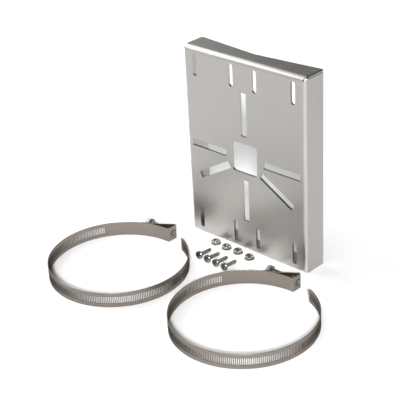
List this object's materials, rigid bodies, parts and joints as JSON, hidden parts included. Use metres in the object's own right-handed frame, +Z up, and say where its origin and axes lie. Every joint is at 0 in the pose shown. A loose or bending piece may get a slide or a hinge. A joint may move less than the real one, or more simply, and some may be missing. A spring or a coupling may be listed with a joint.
{
  "type": "camera pole mount bracket set",
  "caption": "Folded steel bracket plate with slots and a cable hole, laid out with its open worm drive band clamps, machine screws and tooth washer nuts.",
  "frame": {"origin": "middle of the floor area that the laid out set covers, on the floor", "axes": "+X to the right along the plate's width, +Y from the plate's front face towards the pole, +Z up along the plate's height"},
  "size_m": [0.2524, 0.171, 0.1716],
  "materials": {
    "plate": "fine brushed stainless sheet",
    "band": "cold rolled stainless band",
    "fastener": "bright plated fastener steel"
  },
  "bodies": {
    "laid_out_set": {"bracket_plate": "plate", "clamp_a_band": "band", "clamp_a_bridge": "band", "clamp_b_band": "band", "clamp_b_bridge": "band", "machine_screw_1": "fastener", "machine_screw_2": "fastener", "machine_screw_3": "fastener", "machine_screw_4": "fastener", "lock_nut_1": "fastener", "lock_nut_2": "fastener", "lock_nut_3": "fastener", "lock_nut_4": "fastener"},
    "worm_screw_a": {"clamp_a_worm_screw": "fastener"},
    "worm_screw_b": {"clamp_b_worm_screw": "fastener"},
    "washer_1": {"tooth_washer_1": "fastener"},
    "washer_2": {"tooth_washer_2": "fastener"},
    "washer_3": {"tooth_washer_3": "fastener"},
    "washer_4": {"tooth_washer_4": "fastener"}
  },
  "joints": [
    {"name": "worm_a_turn", "type": "hinge", "parent": "laid_out_set", "child": "worm_screw_a", "pos_m": [-0.0675, 0.0378, 0.00635], "axis": [1, 0, 0], "continuous": true},
    {"name": "worm_b_turn", "type": "hinge", "parent": "laid_out_set", "child": "worm_screw_b", "pos_m": [0.0675, 0.0417, 0.00635], "axis": [1, 0, 0], "continuous": true},
    {"name": "washer_1_spin", "type": "hinge", "parent": "laid_out_set", "child": "washer_1", "pos_m": [-0.0331, 0.0552, 0], "axis": [0, 0, 1], "continuous": true},
    {"name": "washer_2_spin", "type": "hinge", "parent": "laid_out_set", "child": "washer_2", "pos_m": [-0.0202, 0.0543, 0], "axis": [0, 0, 1], "continuous": true},
    {"name": "washer_3_spin", "type": "hinge", "parent": "laid_out_set", "child": "washer_3", "pos_m": [-0.0077, 0.0549, 0], "axis": [0, 0, 1], "continuous": true},
    {"name": "washer_4_spin", "type": "hinge", "parent": "laid_out_set", "child": "washer_4", "pos_m": [0.0063, 0.0535, 0], "axis": [0, 0, 1], "continuous": true}
  ]
}
